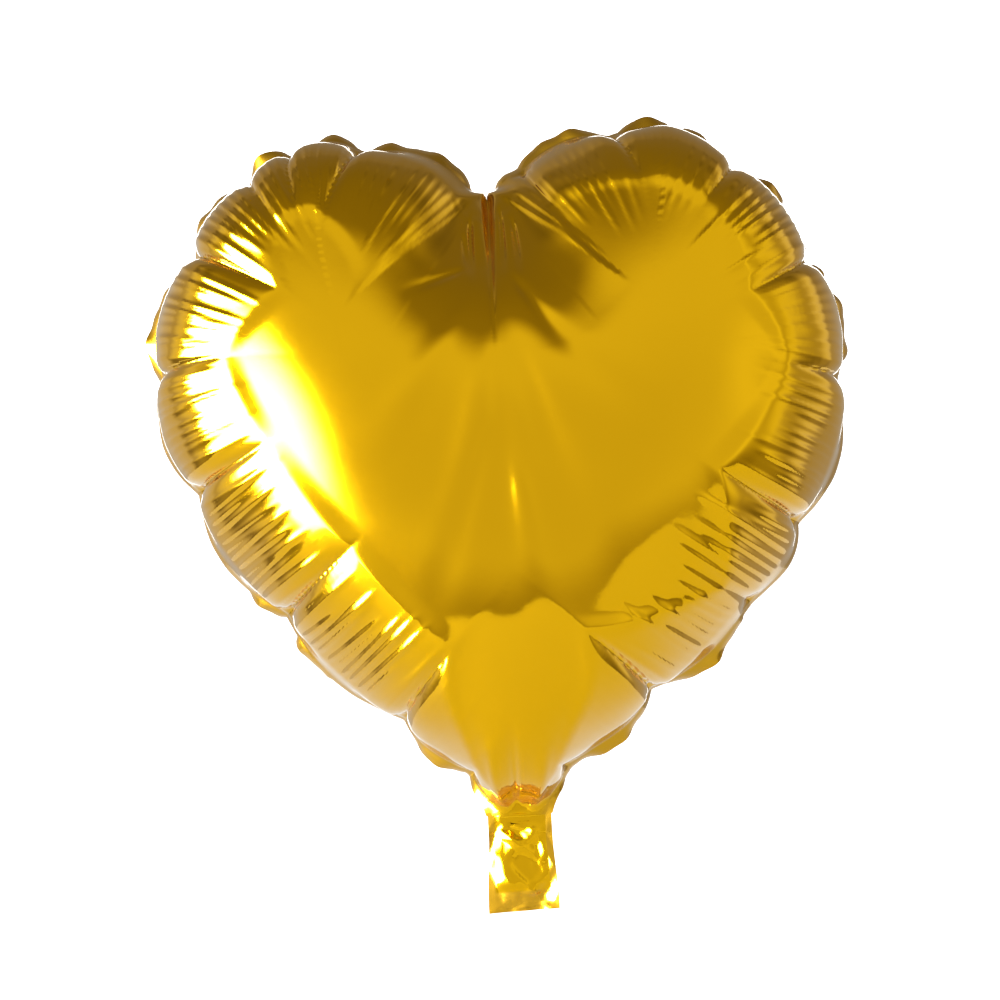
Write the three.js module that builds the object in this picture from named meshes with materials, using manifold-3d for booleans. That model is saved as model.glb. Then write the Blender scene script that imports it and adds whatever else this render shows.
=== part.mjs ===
// A heart-shaped foil balloon, filled and closed.
//
// Frame: millimetres, +Z up, X across the heart's width, -Y towards whoever faces the front film.
// The origin is the narrowest place of the neck, where a ribbon is tied and where the tail folds.
//
// Two thin foil films, front and rear, are welded together in a flat edge all the way round. Gas
// domes them apart, so their flat cut shrinks and the edge gathers into puckers, with a pillow of
// film between each two. Below the heart's tip the films stay flat as a neck, with a channel
// between them, and go on as a tail that folds at the neck. A slit in the front film lets a straw
// into the channel. Two loose valve films reach from the channel up into the heart: gas parts them
// on its way in, and its pressure then holds them shut.

import * as THREE from "three";
import Module from "manifold-3d";
import { mergeVertices } from "three/addons/utils/BufferGeometryUtils.js";

const wasm = await Module();
wasm.setup();

// The heart's outline, over the outside of the welded edge. Heights are above the neck. A curve's
// handle is how far it heads straight on from its end before it bends away.
const HEART_WIDTH = 387;
const LOBE_TOP_HEIGHT = 397;
const LOBE_TOP_X = 86; // from the middle to the top of a lobe
const CLEFT_DEPTH = 33; // below the tops of the lobes
const WIDEST_DROP = 129; // from the tops of the lobes down to the widest place
const FLARE_END = { x: 72, z: 66, slope: 0.73 }; // where the neck's flare meets the lower side
const FLARE_HANDLES = { below: 35, above: 71 };
const NECK_HANDLE = 27;
const WIDEST_HANDLES = { below: 72, above: 62 };
const LOBE_HANDLES = { outer: 52, inner: 44 };
const CLEFT_HANDLE = { x: 14, z: 14 };
const CROWN_SHARE = 0.6; // of the way up to the cleft, where the dome's rings close

// The filled dome.
const DOME_DEPTH = 81; // from the middle plane to the crown of one film
const ROLL_HEIGHT = 10; // how far from the middle plane the film is widest
const ROLL_OUT = 6; // how far the film rolls out past the weld
const TIP_ROLL_HEIGHT = 3; // the same as ROLL_HEIGHT, at the heart's tip
const TIP_ROLL_RISE = 1.5; // from the flat neck up to the film's first turn at the tip
const TIP_FADE = 50; // over this height above the neck the weld and the rolls grow to full size
const PUCKERS_PER_SIDE = 8;
const PUCKER_PINCH = 5; // how far a pucker draws the film in
const PUCKER_REACH = 60; // how far a pucker runs up the dome
const PUCKER_SHARPNESS = 6; // a higher power makes a narrower pucker and a wider pillow

// The films and their weld.
const FILM = 0.5;
const WELD_GAP = 0.3; // between the two films' inner faces in the weld
const WELD_WIDTH = 8;
const NECK_WELD_WIDTH = 4;
const NECK_FLAT = 8; // flat film between the fold and the heart's tip

// The valve films and the channel that they stand in.
const VALVE_WIDTH = 24;
const VALVE_LENGTH = 64;
const VALVE_FILM = 0.3;
const VALVE_GAP = 0.3; // between the two valve films, and from each of them to the foil
const VALVE_SIDE_CLEARANCE = 1;
const VALVE_CORNER = 5;
const VALVE_ABOVE_SLIT = 2;

// The slit that the filling straw goes through.
const SLIT_WIDTH = 11;
const SLIT_HEIGHT = 1.6;
const SLIT_FLOOR = 3.2; // film left between the fold's edge and the slit

// The tail.
const FOLD_GAP = 2.8; // from the fold's axis to the film on each side, so that the tail can turn
const TAIL_LENGTH = 43; // below the fold's axis
const TAIL_SPREAD = 2; // how much further out each side is at the tail's end
const END_WELD_HEIGHT = 12;

// How finely the surfaces are cut.
const COLUMNS_PER_PUCKER = 6;
const RING_SHARES = [0.93, 0.84, 0.72, 0.58, 0.42, 0.22];
const MEMBRANE_STEP = 4;
const MEMBRANE_PASSES = 400;
const MEMBRANE_OVERSTEP = 1.9; // over-relaxation, just below the limit of 2

// What follows from them.
const channelHalf = VALVE_WIDTH / 2 + VALVE_SIDE_CLEARANCE;
const channelRise = VALVE_GAP / 2 + VALVE_FILM + VALVE_GAP - WELD_GAP / 2;
const channelFoot = channelHalf + 1.5 * channelRise;
const channelFace = WELD_GAP / 2 + channelRise; // the foil's inner face over the channel
const neckHalf = channelFoot + NECK_WELD_WIDTH;
const tipHeight = FOLD_GAP + NECK_FLAT;
const cleftHeight = LOBE_TOP_HEIGHT - CLEFT_DEPTH;
const crownHeight = cleftHeight * CROWN_SHARE;
const slitBottom = FOLD_GAP + SLIT_FLOOR;

const foil = new THREE.MeshStandardMaterial({ color: 0xd9a406, metalness: 1, roughness: 0.08 });
const valvePlastic = new THREE.MeshStandardMaterial({
  color: 0xe4e6e4,
  metalness: 0,
  roughness: 0.35,
});

const clamp01 = (t) => Math.min(1, Math.max(0, t));
const smooth = (t) => clamp01(t) ** 2 * (3 - 2 * clamp01(t));

// The right half of the heart's outline, from the neck up to the cleft, as four curves: the flare,
// the lower side, the shoulder and the lobe's inner slope.
function halfOutline() {
  const neck = new THREE.Vector2(neckHalf, FOLD_GAP);
  const flare = new THREE.Vector2(FLARE_END.x, FLARE_END.z);
  const widest = new THREE.Vector2(HEART_WIDTH / 2, LOBE_TOP_HEIGHT - WIDEST_DROP);
  const lobe = new THREE.Vector2(LOBE_TOP_X, LOBE_TOP_HEIGHT);
  const cleft = new THREE.Vector2(0, cleftHeight);
  const slope = new THREE.Vector2(Math.cos(FLARE_END.slope), Math.sin(FLARE_END.slope));
  const up = new THREE.Vector2(0, 1);
  const out = new THREE.Vector2(1, 0);
  const turn = new THREE.Vector2(CLEFT_HANDLE.x, CLEFT_HANDLE.z);
  const off = (from, direction, by) => from.clone().addScaledVector(direction, by);
  const path = new THREE.CurvePath();
  const curve = (...points) => path.add(new THREE.CubicBezierCurve(...points));
  curve(neck, off(neck, up, NECK_HANDLE), off(flare, slope, -FLARE_HANDLES.below), flare);
  curve(flare, off(flare, slope, FLARE_HANDLES.above), off(widest, up, -WIDEST_HANDLES.below), widest);
  curve(widest, off(widest, up, WIDEST_HANDLES.above), off(lobe, out, LOBE_HANDLES.outer), lobe);
  curve(lobe, off(lobe, out, -LOBE_HANDLES.inner), cleft.clone().add(turn), cleft);
  return path;
}

// The columns of the panel's right half, from the middle of the neck to the cleft. Each has its
// place on the film's edge, its place on the weld's inner line, its widest place, and how much of a
// pucker it is, from 0 to 1.
function halfColumns() {
  const columns = [];
  for (const x of [0, channelHalf / 2, channelHalf, channelFoot]) {
    const inner = Math.min(x, (channelHalf + channelFoot) / 2);
    columns.push({
      edge: [x, FOLD_GAP],
      weld: [inner, tipHeight],
      wide: [inner, tipHeight + TIP_ROLL_RISE],
      pinch: 0,
    });
  }
  const path = halfOutline();
  const count = PUCKERS_PER_SIDE * COLUMNS_PER_PUCKER;
  for (let i = 0; i <= count; i++) {
    const at = path.getPointAt(i / count);
    const tangent = path.getTangentAt(i / count);
    if (i === count) tangent.set(-1, 0); // the cleft's column runs straight down
    const inward = [-tangent.y, tangent.x];
    const out = smooth((at.y - tipHeight) / TIP_FADE);
    const weldWidth = NECK_WELD_WIDTH + (WELD_WIDTH - NECK_WELD_WIDTH) * out;
    const wave = Math.abs(Math.cos((Math.PI * i) / COLUMNS_PER_PUCKER));
    const pinch = i === 0 ? 0 : wave ** PUCKER_SHARPNESS;
    const roll = (ROLL_OUT - PUCKER_PINCH * pinch) * out;
    const along = (d) => [at.x + inward[0] * d, Math.max(tipHeight, at.y + inward[1] * d)];
    const column = { edge: [at.x, at.y], weld: along(weldWidth), wide: along(weldWidth - roll), pinch };
    if (i === 0) {
      column.weld = [channelFoot, tipHeight];
      column.wide = [channelFoot, tipHeight + TIP_ROLL_RISE];
    }
    if (i === count) column.weld[0] = column.wide[0] = 0;
    columns.push(column);
  }
  return columns;
}

// The height, from 0 to 1, of a soap film over the outline, worked out on a square grid by
// over-relaxation. Its square root is the shape of a filled dome: steep at the edge, round on top.
function membrane(outline) {
  const reach = Math.ceil(Math.max(...outline.map((p) => Math.abs(p[0]))) / MEMBRANE_STEP) + 2;
  const rows = Math.ceil(Math.max(...outline.map((p) => p[1])) / MEMBRANE_STEP) + 2;
  const width = 2 * reach + 1;
  const inside = (x, z) => {
    let odd = false;
    outline.forEach(([x1, z1], i) => {
      const [x2, z2] = outline[(i + 1) % outline.length];
      if (z1 > z !== z2 > z && x < ((x2 - x1) * (z - z1)) / (z2 - z1) + x1) odd = !odd;
    });
    return odd;
  };
  const height = new Float64Array(width * rows);
  const cells = [];
  for (let r = 1; r < rows - 1; r++)
    for (let c = 1; c < width - 1; c++)
      if (inside((c - reach) * MEMBRANE_STEP, r * MEMBRANE_STEP)) cells.push(r * width + c);
  for (let pass = 0; pass < MEMBRANE_PASSES; pass++)
    for (const i of cells) {
      const mean = (height[i - 1] + height[i + 1] + height[i - width] + height[i + width] + 1) / 4;
      height[i] += MEMBRANE_OVERSTEP * (mean - height[i]);
    }
  const top = height.reduce((a, b) => Math.max(a, b));
  return (x, z) => {
    const c = Math.abs(x) / MEMBRANE_STEP + reach;
    const r = z / MEMBRANE_STEP;
    const [c0, r0] = [Math.floor(c), Math.floor(r)];
    const at = (row, col) => height[row * width + col] || 0;
    const mix = (a, b, t) => a + (b - a) * t;
    const low = mix(at(r0, c0), at(r0, c0 + 1), c - c0);
    const high = mix(at(r0 + 1, c0), at(r0 + 1, c0 + 1), c - c0);
    return clamp01(mix(low, high, r - r0) / top);
  };
}

// How far the flat film is raised at x, over the channel.
function channelAt(x) {
  return channelRise * clamp01((channelFoot - Math.abs(x)) / (channelFoot - channelHalf));
}

// The rings of one panel's outer face, from its edge to the ring nearest the crown, each point as
// [x, distance from the middle plane, z].
function panelRings() {
  const right = halfColumns();
  const left = right
    .slice(1, -1)
    .reverse()
    .map((c) => ({
      edge: [-c.edge[0], c.edge[1]],
      weld: [-c.weld[0], c.weld[1]],
      wide: [-c.wide[0], c.wide[1]],
      pinch: c.pinch,
    }));
  const columns = [...right, ...left];
  const dome = membrane(columns.map((c) => c.wide));
  const flat = WELD_GAP / 2 + FILM;
  const rollGrowth = ROLL_HEIGHT - TIP_ROLL_HEIGHT;
  const roll = (z) => TIP_ROLL_HEIGHT + rollGrowth * smooth((z - tipHeight) / TIP_FADE);
  const depth = DOME_DEPTH - ROLL_HEIGHT;
  const rings = [
    columns.map(({ edge: [x, z] }) => [x, flat + channelAt(x), z]),
    columns.map(({ weld: [x, z] }) => [x, flat + (z > tipHeight ? 0 : channelAt(x)), z]),
    columns.map(({ wide: [x, z] }) => [x, roll(z), z]),
  ];
  for (const share of RING_SHARES)
    rings.push(
      columns.map(({ wide, pinch }) => {
        const x = wide[0] * share;
        const z = crownHeight + (wide[1] - crownHeight) * share;
        const run = Math.hypot(wide[0] - x, wide[1] - z);
        const crease = PUCKER_PINCH * pinch * (1 - smooth(run / PUCKER_REACH));
        return [x, roll(z) + depth * Math.sqrt(dome(x, z)) - crease, z];
      }),
    );
  const crown = [0, roll(crownHeight) + depth * Math.sqrt(dome(0, crownHeight)), crownHeight];
  return { rings, crown };
}

// A closed solid from the outer face of a film, given as rows of points, and the film's thickness.
// Rows that close on themselves may end in one point, the crown. The inner face is the outer one
// moved against its normals, and the open edges are joined by rims.
function filmSolid(rows, { wall, closed = false, crown = null, mirror = false }) {
  const count = rows[0].length;
  const vector = (p) => new THREE.Vector3(p[0], mirror ? p[1] : -p[1], p[2]);
  const outer = rows.map((row) => row.map(vector));
  const pole = crown && vector(crown);
  const near = (r, c) => {
    if (r >= outer.length && pole) return pole;
    const col = closed ? (c + count) % count : Math.min(count - 1, Math.max(0, c));
    return outer[Math.min(outer.length - 1, Math.max(0, r))][col];
  };
  const inner = outer.map((row, r) =>
    row.map((p, c) => {
      const along = near(r, c + 1).clone().sub(near(r, c - 1)).normalize();
      const normal = new THREE.Vector3();
      for (const [a, b] of [[r, r - 1], [r + 1, r]]) {
        const step = near(a, c).clone().sub(near(b, c));
        if (step.length() > 0) normal.add(along.clone().cross(step.normalize()));
      }
      return p.clone().addScaledVector(normal.normalize(), mirror ? wall : -wall);
    }),
  );
  const points = [...outer.flat(), ...inner.flat()];
  const half = outer.length * count;
  const faces = [];
  const quad = (a, b, c, d) => faces.push(a, b, c, a, c, d);
  const columns = closed ? count : count - 1;
  for (let c = 0; c < columns; c++) {
    const d = (c + 1) % count;
    for (let r = 0; r + 1 < outer.length; r++) {
      const [a, b, e, f] = [r * count + c, r * count + d, (r + 1) * count + d, (r + 1) * count + c];
      quad(a, b, e, f);
      quad(half + a, half + f, half + e, half + b); // on the same diagonal, so that no twist thins it
    }
    quad(d, c, half + c, half + d);
    const last = (outer.length - 1) * count;
    if (!pole) quad(last + c, last + d, half + last + d, half + last + c);
  }
  if (pole) {
    const last = (outer.length - 1) * count;
    const top = points.push(pole) - 1;
    const under = points.push(pole.clone().add(new THREE.Vector3(0, mirror ? -wall : wall, 0))) - 1;
    for (let c = 0; c < count; c++) {
      const d = (c + 1) % count;
      faces.push(last + c, last + d, top);
      faces.push(half + last + d, half + last + c, under);
    }
  }
  if (!closed)
    for (let r = 0; r + 1 < outer.length; r++) {
      const [a, b] = [r * count, (r + 1) * count];
      quad(a, b, half + b, half + a);
      const [e, f] = [a + count - 1, b + count - 1];
      quad(f, e, half + e, half + f);
    }
  if (mirror) for (let i = 0; i < faces.length; i += 3) faces.splice(i, 2, faces[i + 1], faces[i]);
  return new THREE.BufferGeometry().setFromPoints(points).setIndex(faces);
}

// A geometry as a manifold-3d solid, and back.
function toSolid(geometry) {
  const bare = geometry.clone().deleteAttribute("normal").deleteAttribute("uv");
  const merged = mergeVertices(bare, 1e-4);
  return new wasm.Manifold(
    new wasm.Mesh({
      numProp: 3,
      vertProperties: merged.attributes.position.array,
      triVerts: new Uint32Array(merged.index.array),
    }),
  );
}

function toGeometry(solid) {
  const mesh = solid.getMesh();
  return new THREE.BufferGeometry()
    .setAttribute("position", new THREE.BufferAttribute(mesh.vertProperties, 3))
    .setIndex(new THREE.BufferAttribute(mesh.triVerts, 1));
}

// A shape drawn in X and Z, made solid from y = from to y = to.
function slab(shape, from, to) {
  const geometry = new THREE.ExtrudeGeometry(shape, {
    depth: to - from,
    bevelEnabled: false,
    curveSegments: 6,
  });
  return geometry.rotateX(Math.PI / 2).translate(0, to, 0);
}

// The filling slit: a slot with round ends, through the front film only.
function slitCutter() {
  const shape = new THREE.Shape();
  const [x, r] = [(SLIT_WIDTH - SLIT_HEIGHT) / 2, SLIT_HEIGHT / 2];
  const z = slitBottom + r;
  shape.absarc(x, z, r, -Math.PI / 2, Math.PI / 2);
  shape.absarc(-x, z, r, Math.PI / 2, (3 * Math.PI) / 2);
  return slab(shape, -channelFace - 2 * FILM, -channelFace + VALVE_GAP / 2);
}

function panels() {
  const { rings, crown } = panelRings();
  const rear = filmSolid(rings, { wall: FILM, closed: true, crown, mirror: true });
  const plain = filmSolid(rings, { wall: FILM, closed: true, crown });
  const front = toGeometry(toSolid(plain).subtract(toSolid(slitCutter())));
  return { front, rear };
}

// One film of the tail. It is flat over the channel, then goes down to the end weld.
function tailFilm(mirror) {
  const weldTop = -TAIL_LENGTH + END_WELD_HEIGHT;
  const half = (z) => neckHalf + (TAIL_SPREAD * (-z - FOLD_GAP)) / (TAIL_LENGTH - FOLD_GAP);
  const rows = [-TAIL_LENGTH, weldTop, weldTop + 2 * channelRise, -FOLD_GAP].map((z) =>
    [-half(z), -channelFoot, -channelHalf, channelHalf, channelFoot, half(z)].map((x) => [
      x,
      WELD_GAP / 2 + FILM + (z > weldTop ? channelAt(x) : 0),
      z,
    ]),
  );
  return filmSolid(rows, { wall: FILM, mirror });
}

// One valve film: a strip with its upper corners cut, standing in the channel above the slit.
function valveFilm(side) {
  const [half, low] = [VALVE_WIDTH / 2, slitBottom + SLIT_HEIGHT + VALVE_ABOVE_SLIT];
  const high = low + VALVE_LENGTH;
  const shape = new THREE.Shape();
  shape.moveTo(-half, low);
  shape.lineTo(half, low);
  shape.lineTo(half, high - VALVE_CORNER);
  shape.lineTo(half - VALVE_CORNER, high);
  shape.lineTo(-half + VALVE_CORNER, high);
  shape.lineTo(-half, high - VALVE_CORNER);
  const near = VALVE_GAP / 2;
  const far = near + VALVE_FILM;
  return side < 0 ? slab(shape, -far, -near) : slab(shape, near, far);
}

const balloon = new THREE.Group();
const { front, rear } = panels();
for (const [name, geometry, material] of [
  ["front_panel", front, foil],
  ["rear_panel", rear, foil],
  ["tail_front_film", tailFilm(false), foil],
  ["tail_rear_film", tailFilm(true), foil],
  ["valve_front_film", valveFilm(-1), valvePlastic],
  ["valve_rear_film", valveFilm(1), valvePlastic],
]) {
  const mesh = new THREE.Mesh(geometry, material);
  mesh.name = name;
  balloon.add(mesh);
}

export default balloon;
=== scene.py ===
import math

import bpy
import numpy as np
from bpy.props import FloatProperty, FloatVectorProperty, PointerProperty
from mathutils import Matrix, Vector
from mathutils.geometry import delaunay_2d_cdt


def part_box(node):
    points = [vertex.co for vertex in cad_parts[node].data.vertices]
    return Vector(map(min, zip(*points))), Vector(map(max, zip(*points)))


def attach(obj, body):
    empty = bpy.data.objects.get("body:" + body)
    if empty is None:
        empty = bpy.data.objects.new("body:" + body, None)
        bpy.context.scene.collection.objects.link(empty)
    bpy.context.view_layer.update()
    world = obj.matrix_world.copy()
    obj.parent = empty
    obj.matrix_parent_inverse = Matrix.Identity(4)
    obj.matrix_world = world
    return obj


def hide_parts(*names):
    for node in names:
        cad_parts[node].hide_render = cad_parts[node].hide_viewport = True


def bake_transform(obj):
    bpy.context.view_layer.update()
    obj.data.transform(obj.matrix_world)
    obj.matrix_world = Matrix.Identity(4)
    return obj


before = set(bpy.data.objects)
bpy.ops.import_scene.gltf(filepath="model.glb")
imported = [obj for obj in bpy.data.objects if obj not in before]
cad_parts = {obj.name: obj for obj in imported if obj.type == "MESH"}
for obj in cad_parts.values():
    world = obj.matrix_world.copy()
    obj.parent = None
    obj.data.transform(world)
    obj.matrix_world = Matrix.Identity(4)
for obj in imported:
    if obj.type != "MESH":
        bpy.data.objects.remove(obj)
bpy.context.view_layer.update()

bl_info = {
    "name": "Heart foil balloon",
    "version": (1, 0, 0),
    "blender": (4, 5, 0),
    "location": "3D View > Sidebar > Balloon",
    "description": "Builds the films, valve and stage of a heart-shaped foil balloon",
    "category": "Object",
}

PANEL_LOW, PANEL_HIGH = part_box("front_panel")
TAIL_LOW, TAIL_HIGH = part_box("tail_front_film")
VALVE_LOW, VALVE_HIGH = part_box("valve_front_film")

# Lengths are in millimetres until a mesh is made.
MM = 0.001
HALF_WIDTH = PANEL_HIGH[0] / MM
LOBE_TOP = PANEL_HIGH[2] / MM
TAIL_LENGTH = -TAIL_LOW[2] / MM

# Outline of the filled heart, on one side of its middle.
LOBE_TOP_X = 86
CLEFT_DEPTH = 33
WIDEST_DROP = 129
NECK_HALF = 17.9
NECK_START = 2.8
FLARE = (72, 66)
FLARE_SLOPE = 0.73
FLARE_HANDLES = (35, 71)
NECK_HANDLE = 27
WIDEST_HANDLES = (72, 62)
LOBE_HANDLES = (52, 44)
CLEFT_HANDLE = (14, 14)

# The neck, from the lowest line of the filled part down to the slit.
FILLED_FROM = 11
NECK_WELD = 4
CHANNEL_HALF = NECK_HALF - NECK_WELD
CHANNEL_RISE = 1.1
FILM_GAP = 0.15
SEAM_INSET = 3.5
INSET_BLEND = 50

# Puckers of the weld: share of the half seam from neck to cleft, share at which the
# crease ends inside, its length on the film, its depth, and how ridged the pillow after
# it is.
LEFT_PUCKERS = (
    (0.045, 0.050, 24, 3, 0.3),
    (0.124, 0.140, 81, 7, 1.0),
    (0.271, 0.282, 86, 8, 1.0),
    (0.416, 0.420, 81, 8, 1.0),
    (0.535, 0.551, 70, 6, 1.0),
    (0.658, 0.676, 86, 8, 1.1),
    (0.752, 0.746, 57, 5, 0.8),
    (0.805, 0.780, 57, 5, 0.9),
    (0.872, 0.848, 65, 6, 0.5),
)
RIGHT_PUCKERS = (
    (0.050, 0.050, 24, 3, 0.3),
    (0.149, 0.160, 83, 8, 0.8),
    (0.264, 0.264, 39, 3, 0.9),
    (0.350, 0.359, 81, 7, 0.7),
    (0.503, 0.501, 60, 6, 0.5),
    (0.624, 0.616, 73, 7, 1.1),
    (0.738, 0.738, 55, 6, 0.4),
    (0.869, 0.855, 52, 5, 0.4),
    (0.962, 0.966, 40, 3, 0.5),
)
CLEFT_PUCKER = (1.0, 1.0, 104, 7, 0.5)

# Where the loose edge of the weld stands out instead of lying back: side, from, to (as
# shares of the half seam), and how far it stands up.
STANDING_EDGE = (
    (-1, 0.05, 0.11, 0.9),
    (-1, 0.20, 0.25, 0.8),
    (-1, 0.27, 0.31, 0.9),
    (-1, 0.50, 0.655, 1.0),
    (-1, 0.68, 0.74, 1.0),
    (-1, 0.75, 0.80, 1.0),
    (-1, 0.83, 0.865, 0.8),
    (-1, 0.88, 0.985, 0.9),
    (1, 0.04, 0.145, 0.9),
    (1, 0.16, 0.25, 1.0),
    (1, 0.52, 0.59, 0.9),
    (1, 0.60, 0.62, 0.8),
    (1, 0.63, 0.66, 0.8),
    (1, 0.68, 0.72, 0.9),
    (1, 0.745, 0.80, 0.8),
    (1, 0.81, 0.86, 1.1),
    (1, 0.875, 0.98, 0.9),
)


def smooth(t):
    """Eased step: 3t^2 - 2t^3 with t kept between 0 and 1."""
    t = np.clip(t, 0, 1)
    return t * t * (3 - 2 * t)


def bezier(points, count):
    """Cubic curve: each control point weighted by its Bernstein polynomial."""
    t = np.linspace(0, 1, count)[:, None]
    a, b, c, d = np.asarray(points, float)
    return (1 - t) ** 3 * a + 3 * (1 - t) ** 2 * t * b + 3 * (1 - t) * t**2 * c + t**3 * d


def arc_length(path):
    """Running length of a path: the sum of the steps so far."""
    steps = np.linalg.norm(np.diff(path, axis=0), axis=1)
    return np.concatenate([[0], np.cumsum(steps)])


def along(path, shares):
    """Points at given shares of a path's length."""
    run = arc_length(path)
    run /= run[-1]
    return np.stack([np.interp(shares, run, path[:, k]) for k in range(path.shape[1])], -1)


def inward(path):
    """Unit normals to the left of a path: its direction turned by a right angle."""
    way = np.gradient(path, axis=0)
    way /= np.linalg.norm(way, axis=1)[:, None]
    return np.stack([-way[:, 1], way[:, 0]], -1)


def half_outline(count=400):
    """Right half of the filled heart's outline: four cubic curves from neck to cleft."""
    up = np.array([0.0, 1.0])
    out = np.array([1.0, 0.0])
    slope = np.array([math.cos(FLARE_SLOPE), math.sin(FLARE_SLOPE)])
    neck = np.array([NECK_HALF, NECK_START])
    flare = np.array(FLARE, float)
    widest = np.array([HALF_WIDTH, LOBE_TOP - WIDEST_DROP])
    lobe = np.array([LOBE_TOP_X, LOBE_TOP])
    cleft = np.array([0.0, LOBE_TOP - CLEFT_DEPTH])
    curves = (
        (neck, neck + NECK_HANDLE * up, flare - FLARE_HANDLES[0] * slope, flare),
        (flare, flare + FLARE_HANDLES[1] * slope, widest - WIDEST_HANDLES[0] * up, widest),
        (widest, widest + WIDEST_HANDLES[1] * up, lobe + LOBE_HANDLES[0] * out, lobe),
        (lobe, lobe - LOBE_HANDLES[1] * out, cleft + CLEFT_HANDLE, cleft),
    )
    parts = [bezier(points, count) for points in curves]
    return np.concatenate([parts[0]] + [part[1:] for part in parts[1:]])


def half_seam(count=2000):
    """Inner edge of the weld: the outline moved in by the weld's hidden width."""
    path = along(half_outline(), np.linspace(0, 1, count))
    blend = smooth((path[:, 1] - FILLED_FROM) / INSET_BLEND)
    inset = NECK_WELD + (SEAM_INSET - NECK_WELD) * blend
    path = path + inward(path) * inset[:, None]
    path = path[(path[:, 1] >= FILLED_FROM) & (path[:, 0] >= 0)]
    return np.concatenate([[[CHANNEL_HALF, FILLED_FROM]], path, [[0, path[-1, 1]]]])


SEAM = half_seam()


# How the flat cut differs from the filled heart near the neck: it is wider, as a flat
# tube is, over this height and by this share, and no longer up to the other height.
TUBE_HEIGHT = 45
TUBE_REACH = 34
TUBE_SHARE = 0.06
LENGTH_BLEND = 150
HEIGHTS = np.linspace(FILLED_FROM, 420, 1200)


def width_ratio(height, ratio):
    """Flat width over filled width: 1 at the neck, more at the tip, then the ratio."""
    rise = smooth((height - FILLED_FROM) / 25)
    tube = TUBE_SHARE * np.exp(-(((height - TUBE_HEIGHT) / TUBE_REACH) ** 2))
    return 1 + (ratio - 1 + tube) * rise


def flat_heights(ratio):
    """Flat height at each of HEIGHTS: the running sum of the length ratio, which grows
    from 1 at the neck to the full ratio."""
    local = 1 + (ratio - 1) * smooth((HEIGHTS - FILLED_FROM) / LENGTH_BLEND)
    return FILLED_FROM + np.concatenate([[0], np.cumsum(np.diff(HEIGHTS) * local[1:])])


def to_flat(points, ratio):
    """Filled place to flat place."""
    height = np.interp(points[:, 1], HEIGHTS, flat_heights(ratio))
    return np.column_stack([points[:, 0] * width_ratio(points[:, 1], ratio), height])


def to_filled(flat, ratio):
    """Flat place to filled place."""
    height = np.interp(flat[:, 1], flat_heights(ratio), HEIGHTS)
    return np.column_stack([flat[:, 0] / width_ratio(height, ratio), height])


def neck_line(share):
    """Lowest line of the filled part, from the left edge of the channel to the right."""
    x = CHANNEL_HALF * (2 * share - 1)
    return np.stack([x, np.full(len(x), float(FILLED_FROM))], -1)


def loop_flat(t, ratio):
    """Edge of the flat film at loop places t: 0..1 right side, 1..2 left, 2..3 neck."""
    out = np.zeros((len(t), 2))
    right, left, neck = t <= 1, (t > 1) & (t <= 2), t > 2
    out[right] = along(SEAM, t[right])
    out[left] = along(SEAM, 2 - t[left]) * [-1, 1]
    out[neck] = neck_line(t[neck] - 2)
    return to_flat(out, ratio)


def side_target(puckers, count=6000):
    """Filled half seam: pulled in at each pucker by its depth, and less between two
    by one minus the sine of the share of the way from one to the next."""
    share = np.linspace(0, 1, count)
    path = along(SEAM, share)
    rows = puckers + (CLEFT_PUCKER,)
    places = np.array([0.0] + [row[0] for row in rows])
    depths = np.array([0.0] + [row[3] for row in rows])
    k = np.clip(np.searchsorted(places, share, side="right") - 1, 0, len(places) - 2)
    u = (share - places[k]) / (places[k + 1] - places[k])
    depth = depths[k] + (depths[k + 1] - depths[k]) * u
    pull = depth * (1 - np.sin(math.pi * u)) * smooth(share / 0.04)
    path = path + inward(path) * pull[:, None]
    path[:, 0] = np.maximum(path[:, 0], 0)
    return path


def loop_filled(t, amount):
    """Edge of the filled film at loop places t, in x, z and height."""
    out = np.zeros((len(t), 3))
    grid = np.linspace(0, 1, 6000)
    plain = along(SEAM, grid)
    right, left, neck = t <= 1, (t > 1) & (t <= 2), t > 2
    for chosen, share, puckers, side in (
        (right, t, RIGHT_PUCKERS, 1), (left, 2 - t, LEFT_PUCKERS, -1)
    ):
        path = plain + (side_target(puckers) - plain) * amount
        for k in (0, 1):
            out[chosen, k] = np.interp(share[chosen], grid, path[:, k])
        out[chosen, 0] *= side
    out[neck, :2] = neck_line(t[neck] - 2)
    out[:, 2] = FILM_GAP
    out[neck, 2] = channel_height(out[neck, 0])
    return out


def channel_height(x):
    """Height of the neck's channel over the middle plane: an arch, flat at its edges."""
    return FILM_GAP + CHANNEL_RISE * np.sqrt(np.clip(1 - (x / CHANNEL_HALF) ** 2, 0, 1))


def edges_of(tris):
    """Each edge of a triangle mesh once, lower vertex first."""
    pairs = np.concatenate([tris[:, [0, 1]], tris[:, [1, 2]], tris[:, [2, 0]]])
    return np.unique(np.sort(pairs, axis=1), axis=0)


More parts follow.
